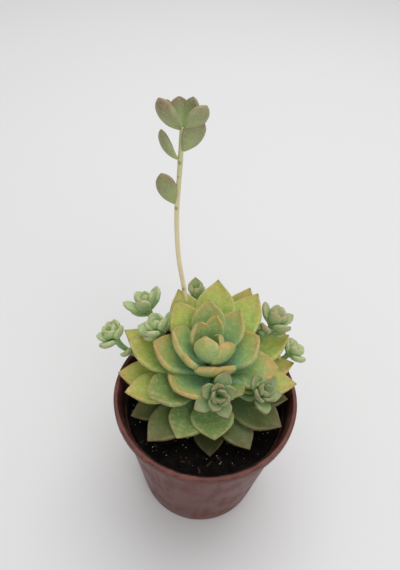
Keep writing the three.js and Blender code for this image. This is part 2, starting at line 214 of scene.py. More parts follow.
def loft(rings: Points, start: Points, end: Points) -> Skin:
    """Joins rings of points into a closed skin.

    Args:
        rings: array of ring, point and coordinate.
        start: point that closes the first ring.
        end: point that closes the last ring.

    Returns:
        The skin, with start first and end last among its points.
    """
    ring_count, side_count = rings.shape[:2]
    points = np.vstack((start, rings.reshape(-1, 3), end))
    last = len(points) - 1
    faces = []
    for side in range(side_count):
        other = (side + 1) % side_count
        faces.append((0, 1 + other, 1 + side))
        for ring in range(ring_count - 1):
            here = 1 + ring * side_count
            there = here + side_count
            faces.append((here + side, here + other, there + other, there + side))
        faces.append((last - side_count + side, last - side_count + other, last))
    return Skin(points, faces)


def joined(skins: list[Skin]) -> Skin:
    """Puts several skins into one, with the values that all of them carry."""
    start = 0
    faces = []
    for skin in skins:
        faces.extend(tuple(corner + start for corner in face) for face in skin.faces)
        start += len(skin.points)
    values = {name: np.concatenate([skin.values[name] for skin in skins]) for name in skins[0].values}
    return Skin(np.vstack([skin.points for skin in skins]), faces, values)


def make_object(name: str, skin: Skin, material: bpy.types.Material, smooth: bool = True) -> bpy.types.Object:
    """Makes a Blender object from a skin.

    Args:
        name: the object's name.
        skin: its points, faces and values.
        material: its finish.
        smooth: whether its faces are shaded smoothly.

    Returns:
        The object, at the origin and in the scene.
    """
    mesh = bpy.data.meshes.new(name)
    mesh.from_pydata(skin.points.tolist(), [], skin.faces)
    mesh.polygons.foreach_set("use_smooth", [smooth] * len(mesh.polygons))
    for value_name, numbers in skin.values.items():
        layer = mesh.attributes.new(value_name, "FLOAT", "POINT")
        layer.data.foreach_set("value", numbers.astype(np.float32))
    mesh.materials.append(material)
    mesh.update()
    made = bpy.data.objects.new(name, mesh)
    bpy.context.scene.collection.objects.link(made)
    return made


def settle(piece: bpy.types.Object, slot: Slot, *nodes: str) -> None:
    """Binds a finished piece to the body and reports it.

    Args:
        piece: the finished object.
        slot: not used.
        nodes: CAD nodes that it stands for.
    """
    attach(piece, ROOT)
    if nodes:
        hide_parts(*nodes)
    stands_for = ", ".join(nodes) or "nothing"
    log.info("%s: %d faces, stands for %s", piece.name, len(piece.data.polygons), stands_for)


# ---- shader writing -----------------------------------------------------------------


def tint(red: int, green: int, blue: int) -> tuple[float, float, float, float]:
    """Returns a linear colour from display values of 0 to 255."""
    shares = (red / 255, green / 255, blue / 255)
    linear = [c / 12.92 if c <= 0.04045 else ((c + 0.055) / 1.055) ** 2.4 for c in shares]
    return linear[0], linear[1], linear[2], 1.0


class Number:
    """A socket that carries a number and can be used in sums."""

    def __init__(self, paint: "Paint", socket: bpy.types.NodeSocket) -> None:
        """Wraps a socket of the paint's node tree."""
        self.paint = paint
        self.socket = socket

    def math(self, operation: str, *operands: "Number | float") -> "Number":
        """Adds one Math node.

        Args:
            operation: the Math node's operation.
            operands: its values or links, in order.

        Returns:
            The result as a number.
        """
        made = self.paint.node("ShaderNodeMath", {"operation": operation}, dict(enumerate(operands)))
        return Number(self.paint, made.outputs[0])

    def __add__(self, other: "Number | float") -> "Number":
        """Returns self + other."""
        return self.math("ADD", self, other)

    def __radd__(self, other: float) -> "Number":
        """Returns other + self."""
        return self.math("ADD", other, self)

    def __sub__(self, other: "Number | float") -> "Number":
        """Returns self - other."""
        return self.math("SUBTRACT", self, other)

    def __rsub__(self, other: float) -> "Number":
        """Returns other - self."""
        return self.math("SUBTRACT", other, self)

    def __mul__(self, other: "Number | float") -> "Number":
        """Returns self * other."""
        return self.math("MULTIPLY", self, other)

    def __rmul__(self, other: float) -> "Number":
        """Returns other * self."""
        return self.math("MULTIPLY", other, self)

    def __pow__(self, other: "Number | float") -> "Number":
        """Returns self to the power of other."""
        return self.math("POWER", self, other)

    def rise(self, low: float, high: float) -> "Number":
        """Rises smoothly from 0 at low to 1 at high.

        Args:
            low: value where the rise starts.
            high: value where it ends; below low, the number falls instead.

        Returns:
            The eased share.
        """
        settings = {"interpolation_type": "SMOOTHSTEP"}
        values = {"Value": self, "From Min": low, "From Max": high}
        return Number(self.paint, self.paint.node("ShaderNodeMapRange", settings, values).outputs["Result"])


class Paint:
    """A material with a Principled shader and the means to write its pattern."""

    def __init__(self, name: str) -> None:
        """Starts an empty material of that name."""
        self.material = bpy.data.materials.new(name)
        self.material.use_nodes = True
        self.nodes = self.material.node_tree.nodes
        self.links = self.material.node_tree.links
        self.nodes.clear()
        self.output = self.nodes.new("ShaderNodeOutputMaterial")
        self.place = self.node("ShaderNodeTexCoord").outputs["Object"]

    def node(self, kind: str, settings: dict | None = None, values: dict | None = None) -> bpy.types.Node:
        """Adds one node.

        Args:
            kind: the node's type.
            settings: properties of the node, set first.
            values: socket name or index, with its value or link.

        Returns:
            The new node.
        """
        made = self.nodes.new(kind)
        for key, setting in (settings or {}).items():
            setattr(made, key, setting)
        for key, value in (values or {}).items():
            socket = made.inputs[key]
            if isinstance(value, Number):
                value = value.socket
            if isinstance(value, bpy.types.NodeSocket):
                self.links.new(value, socket)
            else:
                socket.default_value = value
        return made

    def attribute(self, name: str) -> Number:
        """Returns a value that the mesh carries on its points."""
        return Number(self, self.node("ShaderNodeAttribute", {"attribute_name": name}).outputs["Fac"])

    def noise(self, size: float, detail: float = 2.0, stretch: Vector = (1, 1, 1)) -> Number:
        """Adds cloudy noise.

        Args:
            size: width of one cloud, in metres.
            detail: how many finer layers it has.
            stretch: scale along each axis.

        Returns:
            The noise, 0 to 1 and mostly near a half.
        """
        mapped = self.node("ShaderNodeMapping", None, {"Vector": self.place, "Scale": stretch})
        values = {"Vector": mapped.outputs[0], "Scale": 1 / size, "Detail": detail}
        return Number(self, self.node("ShaderNodeTexNoise", None, values).outputs["Fac"])

    def dots(self, size: float, chance: float = 1.0) -> Number:
        """Adds small round dots, one at most in each cell.

        Args:
            size: width of a cell, in metres.
            chance: share of the cells that carry a dot.

        Returns:
            1 in a dot, 0 between them.
        """
        cells = self.node("ShaderNodeTexVoronoi", None, {"Vector": self.place, "Scale": 1 / size})
        split = self.node("ShaderNodeSeparateColor", None, {"Color": cells.outputs["Color"]})
        chosen = Number(self, split.outputs[0]).math("LESS_THAN", Number(self, split.outputs[0]), chance)
        return Number(self, cells.outputs["Distance"]).rise(0.30, 0.12) * chosen

    def blend(self, share: Number, under: object, over: object, way: str = "MIX") -> bpy.types.NodeSocket:
        """Lays one colour over another.

        Args:
            share: how much of the upper colour shows.
            under: colour or link below.
            over: colour or link above.
            way: the Mix node's blend type.

        Returns:
            The blended colour.
        """
        mixed = self.node("ShaderNodeMix", {"data_type": "RGBA", "blend_type": way, "clamp_factor": True})
        self.links.new(share.socket, mixed.inputs["Factor"])
        for socket, value in ((mixed.inputs[6], under), (mixed.inputs[7], over)):
            if isinstance(value, bpy.types.NodeSocket):
                self.links.new(value, socket)
            else:
                socket.default_value = value
        return mixed.outputs[2]

    def bump(self, height: Number, depth: float) -> bpy.types.NodeSocket:
        """Returns a normal pushed out by a height of 0 to 1 that stands for a depth in metres."""
        values = {"Height": height, "Strength": 1.0, "Distance": depth}
        return self.node("ShaderNodeBump", None, values).outputs[0]

    def finish(self, varying: dict, constant: dict | None = None) -> bpy.types.Material:
        """Adds the Principled shader.

        Args:
            varying: socket name with its colour, number or link.
            constant: socket name with a value that is the same all over.

        Returns:
            The finished material.
        """
        shader = self.node("ShaderNodeBsdfPrincipled", None, {**(constant or {}), **varying})
        self.links.new(shader.outputs[0], self.output.inputs[0])
        return self.material


# ---- finishes -----------------------------------------------------------------------


@dataclass(frozen=True)
class LeafFinish:
    """Waxy leaf skin: blue-green at the foot, yellower outwards, with a warm tip and a pale margin.

    The leaf carries along (0 foot to 1 tip), across (0 midrib to 1 margin), upper (1 on
    the upper face), warmth and shade as values on its points. Shade is painted shade: 1 for
    none, lower where the colour is darkened towards the shadow colour.
    """

    name: str
    foot: Colour
    blade: Colour
    sunned: Colour
    tip: Colour
    margin: Colour
    under: Colour
    tip_start: float = 0.70
    bloom: float = 0.30
    cloud: float = 5 * MM
    grain: float = 0.6 * MM
    point: Colour = (150, 82, 58)
    wax: Colour = (205, 214, 190)
    scar: Colour = (128, 96, 58)
    crystal: Colour = (232, 238, 222)
    # colour of the painted shade, multiplied in where a leaf's shade value is below 1
    shadow: Colour = (122, 120, 104)

    def build(self) -> bpy.types.Material:
        """Returns the material."""
        paint = Paint(self.name)
        along = paint.attribute("along")
        across = paint.attribute("across")
        upper = paint.attribute("upper")
        warmth = paint.attribute("warmth")
        shade = paint.attribute("shade")
        cloud = paint.noise(self.cloud, 3.0)
        patch = paint.noise(self.cloud * 0.4, 4.0)
        grain = paint.noise(self.grain, 2.0)
        uneven = along + (cloud - 0.5) * 0.35
        colour = paint.blend(uneven.rise(0.12, 0.62), tint(*self.foot), tint(*self.blade))
        sunned = uneven.rise(0.45, 0.92) * 0.5 + warmth * uneven.rise(0.35, 0.85) * 0.5
        colour = paint.blend(sunned, colour, tint(*self.sunned))
        below = (1.0 - upper) * (0.2 + across * warmth * 0.6)
        colour = paint.blend(below, colour, tint(*self.under))
        rim = across.rise(0.80, 0.99) * along.rise(0.30, 0.62) * (0.55 + (patch - 0.5) * 0.9)
        colour = paint.blend(rim, colour, tint(*self.margin))
        blushed = across.rise(0.58, 0.96) * along.rise(0.42, 0.85) * warmth * (0.55 + (cloud - 0.5) * 1.2)
        colour = paint.blend(blushed * 0.75, colour, tint(*self.tip))
        blush = (along + across * 0.08 + (patch - 0.5) * 0.22).rise(self.tip_start, 1.02)
        colour = paint.blend(blush * (0.25 + warmth * 0.75), colour, tint(*self.tip))
        point = along.rise(0.955, 0.995)
        colour = paint.blend(point * 0.75, colour, tint(*self.point))
        mottle = (cloud * 0.3 + patch * 0.7).rise(0.57, 0.42)
        colour = paint.blend(mottle * 0.34, colour, tint(*self.foot))
        pale = (patch * 0.4 + grain * 0.6).rise(0.52, 0.64)
        colour = paint.blend(pale * 0.22, colour, tint(*self.margin))
        wax = (patch * 0.6 + grain * 0.4).rise(0.46, 0.68) * self.bloom
        colour = paint.blend(wax, colour, tint(*self.wax))
        scar = paint.dots(4.6 * MM, 0.10) * patch.rise(0.45, 0.6)
        colour = paint.blend(scar * 0.55, colour, tint(*self.scar))
        crystal = paint.dots(1.0 * MM, 0.20) * upper * along.rise(0.92, 0.40) * cloud.rise(0.42, 0.60)
        colour = paint.blend(crystal * 0.85, colour, tint(*self.crystal))
        # painted shade: darkens the colour towards the shadow colour where the shade value is below 1
        colour = paint.blend(1.0 - shade, colour, tint(*self.shadow), "MULTIPLY")
        relief = cloud * 0.5 + patch * 0.25 + grain * 0.18 + crystal * 0.25 - scar * 0.2
        varying = {
            "Base Color": colour,
            "Roughness": 0.40 + (patch - 0.5) * 0.25 + wax * 0.4 - crystal * 0.2,
            "Normal": paint.bump(relief, 0.45 * MM),
        }
        return paint.finish(varying, {"Specular IOR Level": 0.38, "IOR": 1.42})


@dataclass(frozen=True)
class PotFinish:
    """Thin reddish brown nursery plastic, scuffed pale on its edges and dusty on its wall, with painted shade
    that darkens the lip band and the inside.
    """

    rim_height: float
    lip_depth: float
    inner_radius: float
    # the lip band's colour: the pot plastic painted a little darker there as painted shade
    lip_painted_shade: Colour = (84, 34, 27)
    wall: Colour = (92, 42, 35)
    # the inside's colour: the pot plastic painted much darker as painted shade inside the pot
    inside: Colour = (48, 34, 31)
    worn: Colour = (140, 92, 80)
    dusty: Colour = (122, 88, 80)
    splashed: Colour = (92, 78, 68)

    def build(self) -> bpy.types.Material:
        """Returns the material."""
        paint = Paint("nursery plastic")
        split = paint.node("ShaderNodeSeparateXYZ", None, {"Vector": paint.place})
        x, y, height = (Number(paint, split.outputs[i]) for i in range(3))
        radius = (x * x + y * y) ** 0.5
        cloud = paint.noise(14 * MM, 4.0)
        streak = paint.noise(5 * MM, 3.0, (1, 1, 0.18))
        grain = paint.noise(0.5 * MM, 2.0)
        edge = paint.attribute("edge")
        inner = paint.attribute("inner")
        lip_low = self.rim_height - self.lip_depth
        below_lip = height.rise(lip_low + 0.2 * MM, lip_low - 0.4 * MM)
        # painted shade: the lip band above the wall gets the darker lip colour
        colour = paint.blend(below_lip, tint(*self.lip_painted_shade), tint(*self.wall))
        # painted shade: the inside of the pot gets the dark inside colour
        colour = paint.blend(inner, colour, tint(*self.inside))
        dust = (cloud * 0.6 + streak * 0.5).rise(0.48, 0.75)
        colour = paint.blend(dust * 0.18, colour, tint(*self.dusty))
        scuff = edge * (streak + grain * 0.5).rise(0.55, 0.95)
        colour = paint.blend(scuff * 0.55, colour, tint(*self.worn))
        near_wall = radius.rise(self.inner_radius * 0.8, self.inner_radius)
        splash = inner * (cloud + grain * 0.3).rise(0.62, 0.80) * near_wall
        colour = paint.blend(splash * 0.5, colour, tint(*self.splashed))
        relief = cloud * 0.4 + grain * 0.3 + streak * 0.3
        varying = {
            "Base Color": colour,
            "Roughness": 0.36 + dust * 0.25 + (grain - 0.5) * 0.2 + scuff * 0.15,
            "Normal": paint.bump(relief, 0.12 * MM),
        }
        return paint.finish(varying, {"Specular IOR Level": 0.34, "IOR": 1.49})


@dataclass(frozen=True)
class GroundFinish:
    """Loose potting matter, from black peat to pale grit."""

    name: str
    dark: Colour
    light: Colour
    grain: float
    roughness: float = 0.9
    stretch: Vector = (1, 1, 1)

    def build(self) -> bpy.types.Material:
        """Returns the material."""
        paint = Paint(self.name)
        cloud = paint.noise(self.grain * 6, 4.0)
        grain = paint.noise(self.grain, 4.0, self.stretch)
        pale = (cloud * 0.5 + grain * 0.6).rise(0.38, 0.78)
        colour = paint.blend(pale, tint(*self.dark), tint(*self.light))
        varying = {
            "Base Color": colour,
            "Roughness": self.roughness + (grain - 0.5) * 0.25,
            "Normal": paint.bump(cloud * 0.4 + grain * 0.6, self.grain * 0.5),
        }
        return paint.finish(varying, {"Specular IOR Level": 0.12})


@dataclass(frozen=True)
class StalkFinish:
    """Cream flower stalk, greener towards its top, with small brown flecks and fine ribs."""

    low: float
    high: float
    name: str = "stalk skin"
    cream: Colour = (238, 224, 184)
    green: Colour = (200, 204, 150)
    fleck: Colour = (140, 112, 62)

    def build(self) -> bpy.types.Material:
        """Returns the material."""
        paint = Paint(self.name)
        split = paint.node("ShaderNodeSeparateXYZ", None, {"Vector": paint.place})
        height = Number(paint, split.outputs[2])
        cloud = paint.noise(7 * MM, 3.0)
        rib = paint.noise(0.5 * MM, 2.0, (1, 1, 0.06))
        grain = paint.noise(0.4 * MM, 2.0)
        top = (height + (cloud - 0.5) * 24 * MM).rise(self.high - 62 * MM, self.high - 8 * MM)
        foot = (height + (cloud - 0.5) * 8 * MM).rise(self.low + 40 * MM, self.low + 20 * MM)
        colour = paint.blend(top * 0.8 + foot * 0.7, tint(*self.cream), tint(*self.green))
        colour = paint.blend(rib.rise(0.45, 0.75) * 0.35, colour, tint(205, 188, 132))
        scar = paint.attribute("scar")
        colour = paint.blend(scar * 0.75, colour, tint(*self.fleck))
        speck = paint.dots(2.6 * MM, 0.12)
        colour = paint.blend(speck * 0.5, colour, tint(*self.fleck))
        varying = {
            "Base Color": colour,
            "Roughness": 0.48 + (grain - 0.5) * 0.2,
            "Normal": paint.bump(rib * 0.6 + grain * 0.3 + cloud * 0.3, 0.12 * MM),
        }
        return paint.finish(varying, {"Specular IOR Level": 0.35})


@dataclass(frozen=True)
class FloorFinish:
    """Plain pale studio floor."""

    shade: Colour = (233, 233, 233)

    def build(self) -> bpy.types.Material:
        """Returns the material."""
        paint = Paint("studio floor")
        soft = paint.noise(0.5, 1.0)
        colour = paint.blend(soft * 0.06, tint(*self.shade), tint(224, 224, 224))
        varying = {"Base Color": colour, "Roughness": 0.9 + (soft - 0.5) * 0.05}
        return paint.finish(varying, {"Specular IOR Level": 0.1})


# ---- leaves -------------------------------------------------------------------------


CAD_SECTIONS = (
    (0.00, 0.36, 0.42),
    (0.18, 0.50, 0.70),
    (0.40, 0.80, 0.96),
    (0.60, 0.99, 1.00),
    (0.76, 0.97, 0.80),
    (0.88, 0.66, 0.54),
    (0.96, 0.22, 0.28),
    (1.00, 0.00, 0.00),
)


@dataclass(frozen=True)
class LeafStyle:
    """How a kind of leaf is formed.

    sections: rows of the share of the length, of the width and of the thickness.
    """

    sections: Rows
    stations: int = 34
    sides: int = 32
    margin_rise: float = 0.06
    upper_rise: float = 0.52
    dish: float = 0.34
    under_drop: float = 0.58
    edge_round: float = 0.60
    cup: float = 0.16
    keel: float = 0.10


MAIN_STYLE = LeafStyle(
    sections=(
        (0.00, 0.40, 0.46),
        (0.18, 0.56, 0.74),
        (0.40, 0.84, 0.98),
        (0.58, 1.00, 1.00),
        (0.72, 0.93, 0.90),
        (0.84, 0.66, 0.68),
        (0.94, 0.26, 0.36),
        (1.00, 0.00, 0.00),
    ),
)

ROUND_STYLE = LeafStyle(
    sections=(
        (0.00, 0.40, 0.50),
        (0.22, 0.62, 0.80),
        (0.50, 0.96, 1.00),
        (0.72, 0.94, 0.90),
        (0.90, 0.56, 0.60),
        (0.975, 0.18, 0.22),
        (1.00, 0.00, 0.00),
    ),
    stations=20,
    sides=20,
    upper_rise=0.44,
    dish=0.16,
    under_drop=0.60,
    cup=0.10,
    keel=0.10,
)

STALK_STYLE = replace(
    ROUND_STYLE,
    sections=(
        (0.00, 0.18, 0.34),
        (0.12, 0.42, 0.60),
        (0.32, 0.80, 0.88),
        (0.55, 1.00, 1.00),
        (0.76, 0.90, 0.88),
        (0.91, 0.54, 0.58),
        (0.975, 0.20, 0.22),
        (1.00, 0.00, 0.00),
    ),
    stations=26,
    sides=22,
    cup=0.15,
)

POINTED_STYLE = LeafStyle(
    sections=(
        (0.00, 0.44, 0.50),
        (0.22, 0.70, 0.80),
        (0.45, 0.98, 1.00),
        (0.66, 0.94, 0.88),
        (0.84, 0.58, 0.56),
        (0.95, 0.20, 0.24),
        (1.00, 0.00, 0.00),
    ),
    stations=20,
    sides=20,
    upper_rise=0.40,
    dish=0.22,
    under_drop=0.60,
    cup=0.20,
    keel=0.22,
)


@dataclass
class LeafPlace:
    """Where one leaf stands and how large it is."""

    base: Points
    tip: Points
    side: Points
    above: Points
    width: float
    thickness: float
    bow: float

    @classmethod
    def pointing(cls, base: Points, tip: Points, side: Points, width: float, thickness: float,
                 bow: float) -> "LeafPlace":
        """Builds a place from a leaf's two ends and the way its left margin lies."""
        along = unit(tip - base)
        above = unit(np.cross(along, side))
        return cls(base, tip, np.cross(above, along), above, width, thickness, bow)

    @classmethod
    def measured(cls, points: Points, base: Points, sections: Rows, thickest: float,
                 widest: float) -> "LeafPlace":
        """Measures a CAD leaf, whose neighbours may have cut parts of it away.

        Args:
            points: corner points of the leaf.
            base: middle of its foot.
            sections: the rows that the leaf was made from.
            thickest: most that the leaf can be thick.
            widest: most that it can be wide.

        Returns:
            The place of the whole leaf, before anything was cut from it.
        """
        reach = points - base
        tip = points[np.argmax(reach @ (points.mean(axis=0) - base))]
        length = np.linalg.norm(tip - base)
        along = (tip - base) / length
        share = reach @ along / length
        off = reach - np.outer(share * length, along)
        body = off[(share > 0.25) & (share < 0.92)]
        side = np.linalg.eigh(np.cov(body.T))[1][:, 2]
        side = unit(side - along * (side @ along))
        above = np.cross(along, side)
        if (above[2] < 0) if abs(above[2]) > 0.5 else (body.mean(axis=0) @ above > 0):
            side, above = -side, -above
        table = np.array(sections)
        middle = (share > 0.3) & (share < 0.85)
        t, off = share[middle], off[middle]
        width = (2 * np.abs(off @ side) / np.interp(t, table[:, 0], table[:, 1])).max()
        full = np.interp(t, table[:, 0], table[:, 2])
        choices = []
        for bow in np.linspace(0.0, 0.16 * length, 33):
            height = off @ above + 4 * t * (1 - t) * bow
            choices.append((max((height / (0.34 * full)).max(), (-height / (0.56 * full)).max()), bow))
        thickness, bow = min(choices)
        return cls(base, tip, side, above, min(width, widest), min(thickness, thickest), bow)

    def azimuth(self) -> float:
        """Returns the way that the leaf's foot faces, in radians."""
        return math.atan2(self.side[1], self.side[0]) - math.pi / 2

    def length(self) -> float:
        """Returns the distance from foot to tip."""
        return float(np.linalg.norm(self.tip - self.base))


@dataclass
class Leaf:
    """One fleshy leaf, formed finely on its place."""

    place: LeafPlace
    style: LeafStyle
    warmth: float
    # painted shade: 1 for none, lower to darken the whole leaf as if it lay in shadow
    shade: float = 1.0
    seed: float = 0.0

    def skin(self) -> Skin:
        """Returns the leaf's closed skin with its values."""
        style, place = self.style, self.place
        length = place.length()
        along = (place.tip - place.base) / length
        share = 1.0 - np.linspace(1.0, 0.0, style.stations + 1)[:-1] ** 1.25
        wide = smooth_through(style.sections, 1, share) * place.width / 2
        thick = smooth_through(style.sections, 2, share) * place.thickness
        wide *= 1 + 0.025 * np.array([noise.noise((5 * t, self.seed, 0.3)) for t in share])
        sag = 4 * share * (1 - share) * place.bow
        slope = 4 * (1 - 2 * share) * place.bow / length
        angle = 2 * np.pi * np.arange(style.sides) / style.sides
        across, lift = np.cos(angle), np.sin(angle)
        height = np.abs(lift)
        upper = style.upper_rise * height**style.edge_round - style.dish * height**3
        ridge = np.clip(1 - 2.2 * np.abs(across), 0, 1) ** 1.5
        keeled = eased(0.45, 0.85, share)[:, None] * style.keel * ridge
        lower = -style.under_drop * height**style.edge_round - keeled
        profile = np.where(lift >= 0, upper, lower) + style.margin_rise
        cupped = style.cup * wide[:, None] * across**2 * eased(0.1, 0.6, share)[:, None]
        rise = profile * thick[:, None] + cupped
        centre = place.base + np.outer(share * length, along) - np.outer(sag, place.above)
        tilted = place.above + np.outer(slope, along)
        tilted /= np.linalg.norm(tilted, axis=1)[:, None]
        rings = centre[:, None, :] + (across * wide[:, None])[:, :, None] * place.side
        rings = rings + rise[:, :, None] * tilted[:, None, :]
        made = loft(rings, place.base, place.tip)
        made.values["along"] = np.concatenate(([0.0], np.repeat(share, style.sides), [1.0]))
        made.values["across"] = np.concatenate(([0.0], np.tile(np.abs(across), len(share)), [0.5]))
        made.values["upper"] = np.concatenate(([0.5], np.tile(eased(-0.25, 0.25, lift), len(share)), [0.5]))
        # the painted shade goes to the finish as a value on every point
        made.constant("warmth", self.warmth).constant("shade", self.shade)
        return made.outwards()


class Tone(Enum):
    """Kinds of leaf colour on the plant."""

    # SHADED is darker partly for the old low leaves' own duller colour and partly as painted shade where
    # soil, pot and upper leaves shade them
    SHADED = LeafFinish("shaded leaf", (112, 142, 88), (116, 138, 80), (126, 130, 74), (132, 104, 72),
                        (166, 156, 110), (112, 112, 70), tip_start=0.74, bloom=0.12)
    OLIVE = LeafFinish("olive leaf", (106, 150, 102), (122, 154, 84), (150, 166, 82), (166, 142, 84),
                       (184, 180, 118), (138, 146, 80), tip_start=0.72)
    SUNNY = LeafFinish("sunny leaf", (134, 176, 100), (162, 190, 90), (196, 200, 90), (194, 158, 84),
                       (208, 202, 130), (172, 178, 84), tip_start=0.72)
    HEART = LeafFinish("heart leaf", (128, 176, 136), (144, 182, 112), (180, 188, 92), (200, 154, 78),
                       (202, 192, 122), (174, 172, 88), tip_start=0.68)
    SIDE = LeafFinish("side rosette leaf", (156, 194, 128), (172, 202, 142), (188, 200, 140), (190, 150, 122),
                      (206, 206, 162), (168, 184, 130), tip_start=0.76, cloud=3 * MM, bloom=0.24)
    BUD = LeafFinish("stalk leaf", (172, 186, 126), (146, 160, 106), (140, 142, 100), (142, 112, 92),
                     (176, 170, 134), (140, 136, 96), tip_start=0.58, cloud=4 * MM, bloom=0.24)


def tones(names: dict[Tone, str]) -> dict[int, Tone]:
    """Turns lists of leaf numbers into one tone for each number."""
    return {int(number): tone for tone, numbers in names.items() for number in numbers.split()}


@dataclass
class MainRosette:
    """The large rosette: forty leaves on a short stem, the oldest lowest."""

    count: int = 40
    crown_drop: float = 2 * MM
    leafed_length: float = 29.5 * MM
    crown_radius: float = 2 * MM
    clearance: float = 0.3 * MM
    thickest: float = 5.4 * MM
    widest: float = 21.8 * MM
    warmth: dict[int, float] = field(default_factory=lambda: {
        9: 0.3, 10: 1.0, 11: 0.8, 13: 0.2, 15: 0.7, 16: 0.8, 22: 0.7, 24: 1.0, 25: 0.6, 27: 1.0, 29: 0.6,
        31: 0.9, 35: 1.0, 36: 1.0, 39: 0.35,
    })
    # painted shade on the low old leaves next to the soil and the pot: 1 for none, lower for darker
    shade: dict[int, float] = field(default_factory=lambda: {1: 0.1, 2: 0.6, 3: 0.7, 5: 0.6, 6: 0.8, 8: 0.6})
    tone: dict[int, Tone] = field(default_factory=lambda: tones({
        Tone.SHADED: "1 2 3 5 6 8 4 7",
        Tone.OLIVE: "9 12 13 14 17 23",
        Tone.SUNNY: "10 11 15 16 18 19 20 21 22 26 28 30",
        Tone.HEART: "24 25 27 29 31 32 33 34 35 36 37 38 39 40",
    }))

    def foot(self, order: int, azimuth: float | None) -> Points:
        """Finds the foot of a leaf on the stem.

        Args:
            order: place of the leaf, 0 for the oldest.
            azimuth: the way it faces, or None for the middle of the stem.

        Returns:
            The middle of the leaf's foot.
        """
        low, high = (np.array(corner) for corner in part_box("stem"))
        top = high[2] - self.crown_drop
        age = order / (self.count - 1)
        height = top - self.leafed_length * (1 - age)
        foot_radius = (high[0] - low[0]) / 2
        radius = foot_radius + (self.crown_radius - foot_radius) * age
        middle = np.array(((low[0] + high[0]) / 2, (low[1] + high[1]) / 2, height))
        return middle if azimuth is None else middle + heading(azimuth) * (radius + self.clearance)

    def leaf(self, order: int) -> Leaf:
        """Measures and forms one leaf.

        Args:
            order: place of the leaf, 0 for the oldest.

        Returns:
            The leaf.
        """
        points = corner_points(f"leaf_{order + 1:02d}")
        sizes = (CAD_SECTIONS, self.thickest, self.widest)
        rough = LeafPlace.measured(points, self.foot(order, None), *sizes)
        place = LeafPlace.measured(points, self.foot(order, rough.azimuth()), *sizes)
        warmth = self.warmth.get(order + 1, 0.5)
        # leaves that are not listed get no painted shade
        return Leaf(place, MAIN_STYLE, warmth, self.shade.get(order + 1, 1.0), seed=order * 1.7)

    def build(self) -> None:
        """Makes every leaf and binds it to the plant."""
        finishes = {tone: tone.value.build() for tone in set(self.tone.values())}
        for order in range(self.count):
            name = f"leaf_{order + 1:02d}"
            piece = make_object(f"{name}_fine", self.leaf(order).skin(), finishes[self.tone[order + 1]])
            slot = Slot.OLD if order < 9 else Slot.GROWN if order < 30 else Slot.YOUNG
            settle(piece, slot, name)


# ---- side rosettes ------------------------------------------------------------------


@dataclass(frozen=True)
class SideShape:
    """One side rosette's own sizes; angles in degrees, size in metres."""

    azimuth: float
    tilt: float
    size: float
    count: int
    opening: float
    turn: float
    lower: int
    warmth: float
    # painted shade on the whole side rosette: 1 for none, lower for darker
    shade: float
    style: LeafStyle


